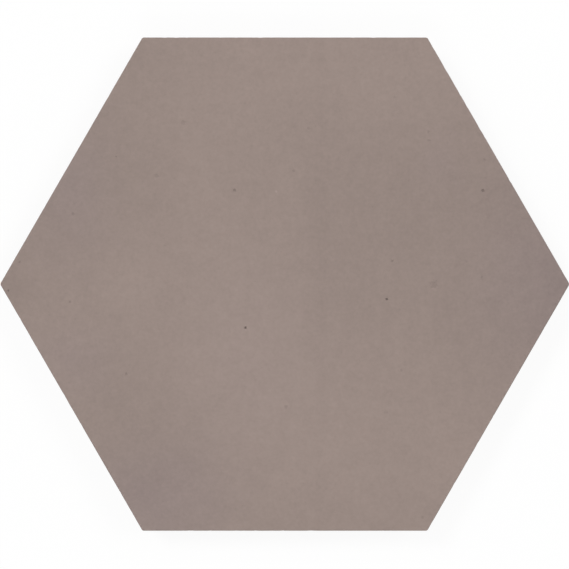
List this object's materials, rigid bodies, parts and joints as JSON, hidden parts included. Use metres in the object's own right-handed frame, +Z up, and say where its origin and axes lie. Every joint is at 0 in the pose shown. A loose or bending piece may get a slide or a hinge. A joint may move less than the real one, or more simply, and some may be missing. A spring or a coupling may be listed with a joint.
{
  "type": "hexagon floor tile",
  "caption": "Flat hexagonal cement floor tile: plain matt wearing face, crisp arrises, edges that lean in slightly, and a honeycomb of shallow keys in the back.",
  "frame": {"origin": "centre of the back, on the floor that the tile lies on", "axes": "+Z up out of the wearing face, +X towards a corner, +Y square to an edge"},
  "size_m": [0.2306, 0.2, 0.016],
  "materials": {
    "pigmented_cement": "matte"
  },
  "bodies": {
    "root": {"hexagon_tile": "pigmented_cement"}
  },
  "joints": []
}
